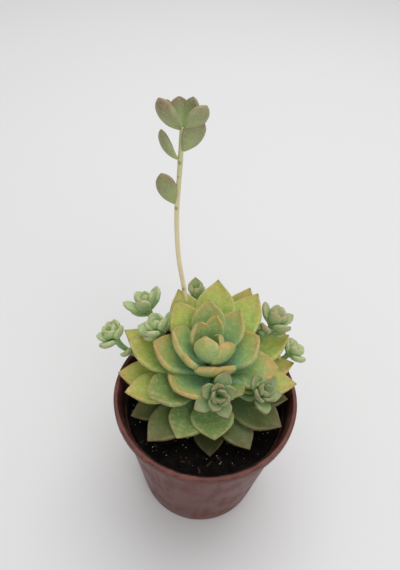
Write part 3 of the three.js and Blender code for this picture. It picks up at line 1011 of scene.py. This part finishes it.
@dataclass
class SideRosettes:
    """Eight small rosettes on their own stems, each joined into one piece."""

    leaf_width: float = 8.6 * MM
    leaf_thickness: float = 3.5 * MM
    stem_radius: float = 1.5 * MM
    # each row: azimuth, tilt, size, count, opening, turn, lower, warmth, painted shade (lowest on the front
    # rosettes 4 and 5), style
    shapes: tuple[SideShape, ...] = (
        SideShape(162, 35, 11.0 * MM, 10, 62, 0, 3, 0.15, 1.0, ROUND_STYLE),
        SideShape(136, 30, 14.0 * MM, 8, 52, 40, 3, 0.25, 1.0, ROUND_STYLE),
        SideShape(154, 30, 12.0 * MM, 9, 64, 80, 2, 0.15, 1.0, ROUND_STYLE),
        SideShape(284, 40, 12.8 * MM, 11, 74, 160, 0, 1.00, 0.6, POINTED_STYLE),
        SideShape(334, 32, 12.0 * MM, 10, 70, 10, 0, 0.70, 0.6, POINTED_STYLE),
        SideShape(37, 30, 14.0 * MM, 9, 58, 60, 4, 1.00, 0.9, ROUND_STYLE),
        SideShape(21, 40, 10.0 * MM, 8, 62, 30, 2, 0.30, 1.0, ROUND_STYLE),
        SideShape(99, 12, 12.0 * MM, 5, 20, 90, 1, 0.60, 0.9, POINTED_STYLE),
    )

    def facing(self, shape: SideShape) -> Points:
        """Returns the way that a side rosette faces."""
        tilt = math.radians(shape.tilt)
        return UP * math.cos(tilt) + heading(math.radians(shape.azimuth)) * math.sin(tilt)

    def leaves(self, shape: SideShape) -> list[Leaf]:
        """Forms the leaves of one side rosette about the origin.

        Args:
            shape: the side rosette's own sizes.

        Returns:
            Its leaves, the outermost first.
        """
        facing = self.facing(shape)
        across = np.cross(UP, heading(math.radians(shape.azimuth)))
        over = np.cross(across, facing)
        made = []
        for i in range(shape.count):
            age = 1 - i / (shape.count - 1)
            turn = math.radians(shape.turn) + GOLDEN_ANGLE * i
            spread = math.radians(12 + (shape.opening - 12) * age)
            aside = across * math.cos(turn) + over * math.sin(turn)
            along = facing * math.cos(spread) + aside * math.sin(spread)
            length = shape.size * (0.5 + 0.5 * age)
            base = aside * 0.4 * MM - facing * shape.size * 0.22 * age
            place = LeafPlace.pointing(base, base + along * length, np.cross(facing, aside),
                                       self.leaf_width * (0.6 + 0.4 * age),
                                       self.leaf_thickness * (0.7 + 0.3 * age), length * 0.08)
            warmth = shape.warmth * (0.7 + 0.3 * noise.noise((i * 2.1, shape.azimuth, 0.5)))
            made.append(Leaf(place, shape.style, warmth, shape.shade, seed=i + shape.azimuth))
        return made

    def centre(self, node: str, shape: SideShape, local: Points) -> Points:
        """Places a side rosette so that its outer sides meet those of its CAD node.

        Args:
            node: the CAD node.
            shape: the side rosette's own sizes.
            local: its leaves' points about the origin.

        Returns:
            The middle of the side rosette.
        """
        low, high = (np.array(corner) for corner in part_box(node))
        outward = heading(math.radians(shape.azimuth)) + UP
        at_low, at_high = low - local.min(axis=0), high - local.max(axis=0)
        return np.where(outward > 0.3, at_high, np.where(outward < -0.3, at_low, (at_low + at_high) / 2))

    def build(self) -> None:
        """Makes every side rosette and binds it to the plant."""
        finish = Tone.SIDE.value.build()
        for index, shape in enumerate(self.shapes):
            node = f"side_rosette_{index + 1}"
            skins = [leaf.skin() for leaf in self.leaves(shape)]
            centre = self.centre(node, shape, np.vstack([skin.points for skin in skins]))
            for skin in skins:
                skin.points = skin.points + centre
            route = self.route(node, shape, centre)
            skins.extend(leaf.skin() for leaf in self.lower_leaves(shape, route))
            skins.append(self.stem(route))
            piece = make_object(f"{node}_fine", joined(skins), finish)
            settle(piece, Slot.SIDE, node)

    def route(self, node: str, shape: SideShape, centre: Points) -> Points:
        """Finds the middle line of a side rosette's stem.

        Args:
            node: the CAD node.
            shape: the side rosette's own sizes.
            centre: middle of the side rosette.

        Returns:
            The line's points, from the main stem up.
        """
        low, high = (np.array(corner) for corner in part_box("stem"))
        axis = (low[:2] + high[:2]) / 2
        points = corner_points(node)
        nearest = np.argsort(np.linalg.norm(points[:, :2] - axis, axis=1))[:6]
        start = points[nearest].mean(axis=0)
        facing = self.facing(shape)
        bend = centre - facing * shape.size * 0.9
        knots = (start, (start + bend) / 2, bend, centre - facing * shape.size * 0.1)
        return curve_through(np.array(knots), 24)

    def stem(self, route: Points) -> Skin:
        """Returns the stem's skin, with the same values as a leaf."""
        made = tube(route, lambda share: self.stem_radius * (1 + 0.12 * np.sin(share * 22)), 14)
        made.constant("along", 0.3).constant("across", 0.4).constant("upper", 0.5)
        # the stems carry painted shade of 0.7, which darkens them as if they lay in shadow
        return made.constant("warmth", 0.1).constant("shade", 0.7)

    def lower_leaves(self, shape: SideShape, route: Points) -> list[Leaf]:
        """Forms the leaves on a side rosette's stem.

        Args:
            shape: the side rosette's own sizes.
            route: middle line of its stem.

        Returns:
            The leaves, the highest first.
        """
        facing = self.facing(shape)
        level = unit(np.cross(facing, UP))
        made = []
        for i in range(shape.lower):
            share = 0.94 - 0.3 * i / max(1, shape.lower - 1)
            turn = math.radians(shape.turn) + GOLDEN_ANGLE * (i + 0.6)
            aside = level * math.cos(turn) + np.cross(facing, level) * math.sin(turn)
            length = shape.size * (0.78 - 0.06 * i)
            base = route[int(share * (len(route) - 1))] + aside * self.stem_radius * 0.5
            tip = base + (facing * 0.5 + aside * 0.87) * length
            place = LeafPlace.pointing(base, tip, np.cross(facing, aside), self.leaf_width * 0.8,
                                       self.leaf_thickness * 0.9, length * 0.08)
            made.append(Leaf(place, shape.style, shape.warmth, shape.shade, seed=i + 3.3))
        return made


def tube(route: Points, radius_at: Callable[[Points], Points], sides: int) -> Skin:
    """Sweeps a round section along a route.

    Args:
        route: the middle line's points.
        radius_at: gives the radii at shares 0 to 1 of the route.
        sides: points round the section.

    Returns:
        The closed tube.
    """
    tangent = np.gradient(route, axis=0)
    tangent /= np.linalg.norm(tangent, axis=1)[:, None]
    side = unit(np.cross(tangent[0], UP + np.array((0.1, 0.2, 0.0))))
    radii = radius_at(np.linspace(0, 1, len(route)))
    around = circle(sides)
    rings = []
    for point, along, radius in zip(route, tangent, radii):
        side = unit(side - along * (side @ along))
        over = np.cross(along, side)
        rings.append(point + radius * (around[:, :1] * side + around[:, 1:2] * over))
    return loft(np.array(rings), route[0], route[-1]).outwards()


# ---- flower stalk -------------------------------------------------------------------


@dataclass
class FlowerStalk:
    """The tall stalk with its scattered leaves and the leaves round its bud."""

    radius: float = 1.2 * MM
    leaf_width: float = 9.2 * MM
    leaf_thickness: float = 3.4 * MM
    leaves: dict[str, float] = field(default_factory=lambda: {
        "stalk_leaf_low": 0.55,
        "stalk_leaf_left": 0.10,
        "stalk_leaf_right": 0.80,
        "bud_leaf_1": 1.00,
        "bud_leaf_2": 0.45,
        "bud_leaf_3": 0.80,
        "bud_leaf_4": 0.30,
        "bud_leaf_5": 0.55,
    })

    def route(self) -> Points:
        """Returns the middle of each of the CAD stalk's rings, from the lowest up."""
        left = corner_points("flower_stalk")
        left = left[np.argsort(left[:, 2])]
        middles = []
        while len(left):
            near = np.linalg.norm(left - left[0], axis=1) < 2.6 * self.radius
            middles.append(left[near].mean(axis=0))
            left = left[~near]
        return np.array(middles)

    def stalk(self) -> Skin:
        """Returns the stalk's skin, with scars where leaves were."""
        route = curve_through(self.route(), 160)
        scars = (0.36, 0.71, 0.885)

        def radius_at(share: Points) -> Points:
            """Returns the radii, a little swollen at each scar and thinner at the top."""
            swell = sum(np.exp(-((share - scar) / 0.008) ** 2) for scar in scars)
            return self.radius * (0.97 - 0.08 * share**2 + 0.09 * swell + 0.015 * np.sin(share * 60))

        made = tube(route, radius_at, 20)
        height = made.points[:, 2]
        scarred = np.zeros(len(height))
        for scar in scars:
            middle = route[int(scar * (len(route) - 1))]
            away = np.linalg.norm(made.points - middle - np.array((-0.3, -1.1, 0.3)) * MM, axis=1)
            scarred = np.maximum(scarred, np.exp(-((away / (0.9 * MM)) ** 4)))
        made.values["scar"] = scarred
        return made

    def build(self) -> None:
        """Makes the stalk and its leaves and binds them to the plant."""
        low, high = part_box("flower_stalk")
        stalk = make_object("flower_stalk_fine", self.stalk(), StalkFinish(low[2], high[2]).build())
        settle(stalk, Slot.STALK, "flower_stalk")
        route = curve_through(self.route(), 200)
        finish = Tone.BUD.value.build()
        for index, (node, warmth) in enumerate(self.leaves.items()):
            points = corner_points(node)
            gaps = np.linalg.norm(points[:, None, :] - route[None, :, :], axis=2).min(axis=1)
            base = points[np.argsort(gaps)[:6]].mean(axis=0)
            sizes = (CAD_SECTIONS, self.leaf_thickness, self.leaf_width)
            place = LeafPlace.measured(points, base, *sizes)
            skin = Leaf(place, STALK_STYLE, warmth, seed=50.0 + index).skin()
            skin.points[:, 2] -= max(0.0, skin.points[:, 2].max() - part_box(node)[1][2])
            settle(make_object(f"{node}_fine", skin, finish), Slot.STALK_LEAF, node)


# ---- stem ---------------------------------------------------------------------------


@dataclass
class Stem:
    """The short woody stem under the leaves, with rings where old leaves were."""

    crown_radius: float = 2 * MM
    sides: int = 40

    def build(self) -> None:
        """Makes the stem and binds it to the plant."""
        low, high = (np.array(corner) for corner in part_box("stem"))
        middle, radius = (low + high) / 2, (high[0] - low[0]) / 2
        rows = ((0.0, 0.4), (0.12, 0.85), (0.3, 0.97), (0.6, 0.72), (1.0, self.crown_radius / radius))
        share = np.linspace(0.0, 1.0, 70)
        radii = radius * smooth_through(rows, 1, share) * (1 - 0.05 * np.sin(share * 95) ** 2)
        foot = np.array((*middle[:2], low[2]))
        heights = share * (high[2] - low[2])
        rings = foot + radii[:, None, None] * circle(self.sides) + heights[:, None, None] * UP
        made = loft(rings, foot, np.array((*middle[:2], high[2]))).outwards()
        finish = GroundFinish("woody stem", (112, 96, 60), (168, 160, 104), 1.2 * MM, 0.7, (1, 1, 3))
        settle(make_object("stem_fine", made, finish.build()), Slot.STEM, "stem")


# ---- pot ----------------------------------------------------------------------------


@dataclass
class Pot:
    """The thin nursery pot with its lip, inner ledge and drain holes."""

    lip_width: float = 2 * MM
    lip_depth: float = 3.4 * MM
    lip_overhang: float = 2.4 * MM
    wall: float = 1.5 * MM
    taper: float = math.tan(math.radians(7.5))
    ledge_depth: float = 11 * MM
    ledge_width: float = 1.1 * MM
    floor: float = 2.2 * MM
    round_off: float = 0.55 * MM
    inner_round_off: float = 0.35 * MM
    hole_count: int = 6
    hole_radius: float = 3 * MM
    hole_circle: float = 19 * MM
    hole_sides: int = 24
    segments: int = 144

    def sizes(self) -> tuple[float, float]:
        """Returns the pot's outer radius and its height."""
        low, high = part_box("pot")
        return (high[0] - low[0]) / 2, high[2]

    def inner_radius(self, depth: float) -> float:
        """Returns the inside radius below the ledge at a depth under the rim."""
        radius, _ = self.sizes()
        ledge = radius - self.lip_overhang - self.wall - (self.ledge_depth - self.lip_depth) * self.taper
        return ledge - self.ledge_width - (depth - self.ledge_depth) * self.taper

    def profile(self) -> list[tuple[float, float, float, float]]:
        """Returns the pot's outline as rows of radius, height, wear and inside."""
        radius, height = self.sizes()
        wall_top = radius - self.lip_overhang
        lip_low = height - self.lip_depth
        foot = wall_top - (height - self.lip_depth) * self.taper
        inner_top = wall_top - self.wall
        ledge = inner_top - (self.ledge_depth - self.lip_depth) * self.taper
        ledge_height = height - self.ledge_depth
        rounded = self.round_off
        rows = [(0.0, 0.9 * MM, 0, 0), (foot - 9 * MM, 0.9 * MM, 0, 0), (foot - 7.5 * MM, 0.0, 0.3, 0)]
        rows += [(foot - 0.8 * MM, 0.0, 0.6, 0), (foot, 0.8 * MM, 1, 0)]
        for step in range(1, 9):
            share = step / 9
            rows.append((foot + (wall_top - foot) * share, lip_low * share, 0, 0))
        rows += [(wall_top - 0.1 * MM, lip_low - 0.4 * MM, 0, 0), (wall_top + 0.35 * MM, lip_low, 0, 0)]
        rows += [(radius - 0.35 * MM, lip_low, 0.4, 0), (radius, lip_low + 0.35 * MM, 0.7, 0)]
        rows += [(radius - 0.12 * MM, height - 1.9 * MM, 0.1, 0)]
        for turn in np.radians((0, 30, 60, 90)):
            out, up = rounded * math.cos(turn), rounded * math.sin(turn)
            rows.append((radius - rounded + out, height - rounded + up, 1, 0))
        inner_lip = radius - self.lip_width
        rows.append((radius - self.lip_width / 2, height - 0.06 * MM, 0.5, 0))
        bend = self.inner_round_off
        for turn in np.radians((90, 120, 150, 180)):
            out, up = bend * math.cos(turn), bend * math.sin(turn)
            rows.append((inner_lip + bend + out, height - bend + up, 0.8, 0.1))
        rows += [(inner_top, lip_low, 0, 1), (inner_top - 1.3 * MM * self.taper, lip_low - 1.3 * MM, 0, 1)]
        rows += [(ledge, ledge_height + 0.25 * MM, 0, 1), (ledge - 0.3 * MM, ledge_height, 0.6, 1)]
        rows += [(ledge - self.ledge_width + 0.2 * MM, ledge_height - 0.5 * MM, 0.5, 1)]
        rows += [(ledge - self.ledge_width, ledge_height - 0.9 * MM, 0, 1)]
        rows += [(self.inner_radius(height - self.floor), self.floor, 0, 1), (0.0, self.floor, 0, 1)]
        return rows

    def skin(self) -> Skin:
        """Returns the turned pot, before its drain holes."""
        rows = np.array(self.profile())
        rings = rows[1:-1, 0][:, None, None] * circle(self.segments) + rows[1:-1, 1][:, None, None] * UP
        start = np.array((0.0, 0.0, rows[0, 1]))
        made = loft(rings, start, np.array((0.0, 0.0, rows[-1, 1])))
        for column, name in ((2, "edge"), (3, "inner")):
            rings_value = np.repeat(rows[1:-1, column], self.segments)
            made.values[name] = np.concatenate(([0.0], rings_value, rows[-1:, column]))
        return made.outwards()

    def drill(self, pot: bpy.types.Object) -> bpy.types.Object:
        """Cuts the drain holes through the pot's floor.

        Args:
            pot: the turned pot.

        Returns:
            The same object with its holes cut.
        """
        low, high = -4 * MM * UP, 8 * MM * UP
        drills = []
        for hole in range(self.hole_count):
            middle = heading(2 * math.pi * (hole + 0.5) / self.hole_count) * self.hole_circle
            edge = middle + self.hole_radius * circle(self.hole_sides)
            drill = loft(np.stack((edge + low, edge + high)), middle + low, middle + high)
            drills.append(drill.outwards())
        cutter = make_object("drain_drills", joined(drills), pot.data.materials[0])
        cut = pot.modifiers.new("drain holes", "BOOLEAN")
        cut.operation, cut.solver, cut.object = "DIFFERENCE", "EXACT", cutter
        graph = bpy.context.evaluated_depsgraph_get()
        drilled = bpy.data.meshes.new_from_object(pot.evaluated_get(graph))
        pot.modifiers.remove(cut)
        pot.data = drilled
        bpy.data.objects.remove(cutter)
        return pot

    def build(self) -> None:
        """Makes the pot and binds it to the plant."""
        radius, height = self.sizes()
        finish = PotFinish(height, self.lip_depth, radius - self.lip_overhang - self.wall).build()
        pot = self.drill(make_object("pot_fine", self.skin(), finish))
        settle(pot, Slot.POT, "pot")


# ---- soil ---------------------------------------------------------------------------


@dataclass(frozen=True)
class Scatter:
    """Loose pieces scattered over a surface by Geometry Nodes."""

    name: str
    density: float
    size: float
    spread: float
    stretch: Vector
    seed: int
    sink: float = 0.2
    roughen: float = 0.35

    def tree(self, material: bpy.types.Material) -> bpy.types.NodeTree:
        """Writes the node tree.

        Args:
            material: finish of the pieces.

        Returns:
            The tree, with its sizes as named inputs.
        """
        tree = bpy.data.node_groups.new(self.name, "GeometryNodeTree")
        tree.interface.new_socket("Geometry", in_out="INPUT", socket_type="NodeSocketGeometry")
        for name in ("Density", "Size", "Spread", "Sink", "Roughen"):
            tree.interface.new_socket(name, in_out="INPUT", socket_type="NodeSocketFloat")
        tree.interface.new_socket("Seed", in_out="INPUT", socket_type="NodeSocketInt")
        tree.interface.new_socket("Geometry", in_out="OUTPUT", socket_type="NodeSocketGeometry")

        def node(kind: str, settings: dict | None = None, values: dict | None = None) -> bpy.types.Node:
            """Adds one node with its settings and its values or links."""
            made = tree.nodes.new(kind)
            for key, setting in (settings or {}).items():
                setattr(made, key, setting)
            for key, value in (values or {}).items():
                if isinstance(value, bpy.types.NodeSocket):
                    tree.links.new(value, made.inputs[key])
                else:
                    made.inputs[key].default_value = value
            return made

        def math_node(operation: str, first: object, second: object) -> bpy.types.NodeSocket:
            """Adds one Math node and returns its result."""
            return node("ShaderNodeMath", {"operation": operation}, {0: first, 1: second}).outputs[0]

        given = node("NodeGroupInput").outputs
        spots = node("GeometryNodeDistributePointsOnFaces", None,
                     {"Mesh": given["Geometry"], "Density": given["Density"], "Seed": given["Seed"]})
        grain = node("GeometryNodeMeshIcoSphere", None, {"Radius": 1.0, "Subdivisions": 2})
        grain = node("GeometryNodeTransform", None,
                     {"Geometry": grain.outputs["Mesh"], "Scale": self.stretch})
        least = math_node("SUBTRACT", given["Size"], given["Spread"])
        most = math_node("ADD", given["Size"], given["Spread"])
        scale = node("FunctionNodeRandomValue", {"data_type": "FLOAT"},
                     {2: least, 3: most, "Seed": given["Seed"]})
        turn = node("FunctionNodeRandomValue", {"data_type": "FLOAT_VECTOR"},
                    {0: (-0.5, -0.5, 0.0), 1: (0.5, 0.5, 6.28), "Seed": given["Seed"]})
        placed = node("GeometryNodeInstanceOnPoints", None,
                      {"Points": spots.outputs["Points"], "Instance": grain.outputs[0],
                       "Rotation": turn.outputs[0], "Scale": scale.outputs[1]})
        loose = node("GeometryNodeRealizeInstances", None, {"Geometry": placed.outputs[0]})
        rough = node("ShaderNodeTexNoise", None, {"Scale": 0.7 / self.size, "Detail": 2.0})
        centred = node("ShaderNodeVectorMath", {"operation": "SUBTRACT"},
                       {0: rough.outputs["Color"], 1: (0.5, 0.5, 0.5)})
        reach = math_node("MULTIPLY", given["Size"], given["Roughen"])
        push = node("ShaderNodeVectorMath", {"operation": "SCALE"}, {0: centred.outputs[0], "Scale": reach})
        drop = node("ShaderNodeCombineXYZ", None, {"Z": math_node("MULTIPLY", given["Sink"], -self.size)})
        shift = node("ShaderNodeVectorMath", {"operation": "ADD"}, {0: push.outputs[0], 1: drop.outputs[0]})
        moved = node("GeometryNodeSetPosition", None,
                     {"Geometry": loose.outputs[0], "Offset": shift.outputs[0]})
        dressed = node("GeometryNodeSetMaterial", None, {"Geometry": moved.outputs[0], "Material": material})
        node("NodeGroupOutput", None, {"Geometry": dressed.outputs[0]})
        return tree

    def over(self, surface: Skin, material: bpy.types.Material) -> bpy.types.Object:
        """Scatters the pieces over a surface.

        Args:
            surface: where the pieces lie.
            material: their finish.

        Returns:
            The pieces as one plain mesh object.
        """
        ground = make_object(self.name, surface, material)
        modifier = ground.modifiers.new(self.name, "NODES")
        modifier.node_group = self.tree(material)
        sizes = {"Density": self.density, "Size": self.size, "Spread": self.spread, "Sink": self.sink,
                 "Roughen": self.roughen, "Seed": self.seed}
        for item in modifier.node_group.interface.items_tree:
            if item.in_out == "INPUT" and item.name in sizes:
                modifier[item.identifier] = sizes[item.name]
        graph = bpy.context.evaluated_depsgraph_get()
        mesh = bpy.data.meshes.new_from_object(ground.evaluated_get(graph))
        ground.modifiers.remove(modifier)
        ground.data = mesh
        return ground


@dataclass
class Soil:
    """Dark peat with crumbs, bark and pale grit on its top."""

    pot: Pot
    hump: float = 1.1 * MM
    margin: float = 0.25 * MM
    rings: int = 46
    segments: int = 120

    def top(self, inset: float = 0.0) -> Skin:
        """Returns the open, humped top of the soil.

        Args:
            inset: how far its edge keeps from the pot's wall.

        Returns:
            The skin, facing up.
        """
        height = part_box("soil")[1][2] - 0.35 * MM
        depth = self.pot.sizes()[1] - height
        reach = self.pot.inner_radius(depth) - self.margin - inset
        shares = np.linspace(0.02, 1.0, self.rings)
        points = (shares[:, None, None] * reach * circle(self.segments)).reshape(-1, 3)
        points = np.vstack((points, np.zeros(3)))
        rough = noise_at(points, 9 * MM, 3.1) * 0.6 + noise_at(points, 3.2 * MM, 7.7) * 0.35
        points[:, 2] = height + self.hump * rough - 0.4 * MM
        last = len(points) - 1
        faces = []
        for side in range(self.segments):
            other = (side + 1) % self.segments
            faces.append((side, other, last))
            for ring in range(self.rings - 1):
                here = ring * self.segments
                there = here + self.segments
                faces.append((here + side, there + side, there + other, here + other))
        return Skin(points, faces)

    def body(self) -> Skin:
        """Returns the closed soil body under that top."""
        made = self.top()
        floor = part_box("soil")[0][2]
        radius = self.pot.inner_radius(self.pot.sizes()[1] - floor) - self.margin
        foot = radius * circle(self.segments) + floor * UP
        edge = (self.rings - 1) * self.segments
        start = len(made.points)
        made.points = np.vstack((made.points, foot, (0.0, 0.0, floor)))
        for side in range(self.segments):
            other = (side + 1) % self.segments
            made.faces.append((edge + side, start + side, start + other, edge + other))
            made.faces.append((start + other, start + side, start + self.segments))
        return made.outwards()

    def build(self) -> None:
        """Makes the soil and what lies on it and binds them to the plant."""
        peat = GroundFinish("peat", (7, 6, 6), (30, 25, 22), 0.9 * MM).build()
        settle(make_object("soil_fine", self.body(), peat), Slot.SOIL, "soil")
        bark = GroundFinish("bark", (34, 24, 18), (92, 68, 46), 0.7 * MM, 0.8, (1, 1, 4)).build()
        grit = GroundFinish("grit", (150, 140, 120), (222, 214, 196), 0.4 * MM, 0.6).build()
        bed = self.top(inset=1.4 * MM)
        layers = (
            (Scatter("soil_crumbs", 3.2e5, 0.65 * MM, 0.40 * MM, (1, 0.9, 0.75), 11), peat),
            (Scatter("bark_bits", 2.2e4, 0.85 * MM, 0.45 * MM, (1.9, 0.6, 0.35), 23, 0.05), bark),
            (Scatter("pale_grit", 2.0e4, 0.30 * MM, 0.14 * MM, (1, 0.9, 0.8), 31, -0.4), grit),
        )
        for scatter, material in layers:
            settle(scatter.over(bed, material), Slot.SOIL)


# ---- studio -------------------------------------------------------------------------


@dataclass
class Studio:
    """Pale floor, soft light and the camera, placed from the middle of the pot's rim."""

    eye: Vector = (-6.1 * MM, -137.4 * MM, 211.1 * MM)
    down: float = 44.96
    roll: float = 3.56
    lens: float = 31.58
    world: float = 0.50

    def camera(self) -> None:
        """Makes the scene's camera."""
        data = bpy.data.cameras.new("camera")
        data.lens = self.lens
        data.sensor_width = 36.0
        data.clip_start = 0.01
        camera = bpy.data.objects.new("camera", data)
        rim = np.array((0.0, 0.0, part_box("pot")[1][2]))
        camera.location = rim + np.array(self.eye)
        turned = Euler((math.radians(90 - self.down), 0.0, 0.0)).to_matrix()
        rolled = Euler((0.0, 0.0, math.radians(self.roll))).to_matrix()
        camera.rotation_euler = (turned @ rolled).to_euler()
        bpy.context.scene.collection.objects.link(camera)
        bpy.context.scene.camera = camera

    def floor(self) -> None:
        """Makes the floor."""
        reach = 3.0
        corners = np.array(((-reach, -reach, 0), (reach, -reach, 0), (reach, reach, 0), (-reach, reach, 0)))
        skin = Skin(corners, [(0, 1, 2, 3)])
        make_object("studio_floor", skin, FloorFinish().build(), smooth=False)

    def lamp(self, name: str, place: Vector, size: float, power: float) -> None:
        """Makes one soft square light that faces the plant.

        Args:
            name: the light's name.
            place: where it stands.
            size: its width.
            power: its strength in watts.
        """
        data = bpy.data.lights.new(name, "AREA")
        data.shape, data.size, data.energy = "SQUARE", size, power
        lamp = bpy.data.objects.new(name, data)
        target = np.array((0.0, 0.0, 90 * MM))
        away = unit(np.array(place) - target)
        tilt = math.acos(away[2])
        lamp.location = place
        lamp.rotation_euler = (tilt, 0.0, math.atan2(away[1], away[0]) + math.pi / 2)
        bpy.context.scene.collection.objects.link(lamp)

    def build(self) -> None:
        """Makes the floor, the lights, the world and the camera."""
        self.camera()
        self.floor()
        self.lamp("key", (0.12, 0.45, 1.20), 1.2, 8.4)
        self.lamp("fill", (0.4, -0.8, 0.7), 0.8, 2.6)
        scene = bpy.context.scene
        scene.world = scene.world or bpy.data.worlds.new("studio")
        scene.world.use_nodes = True
        background = scene.world.node_tree.nodes["Background"]
        background.inputs["Color"].default_value = (1.0, 1.0, 1.0, 1.0)
        background.inputs["Strength"].default_value = self.world
        scene.view_settings.view_transform = "Standard"


def main() -> None:
    """Builds the studio and the potted plant in order."""
    logging.basicConfig(level=logging.INFO, format="%(name)s: %(message)s")
    Studio().build()
    pot = Pot()
    pot.build()
    Soil(pot).build()
    Stem().build()
    MainRosette().build()
    SideRosettes().build()
    FlowerStalk().build()


if __name__ == "__main__":
    main()
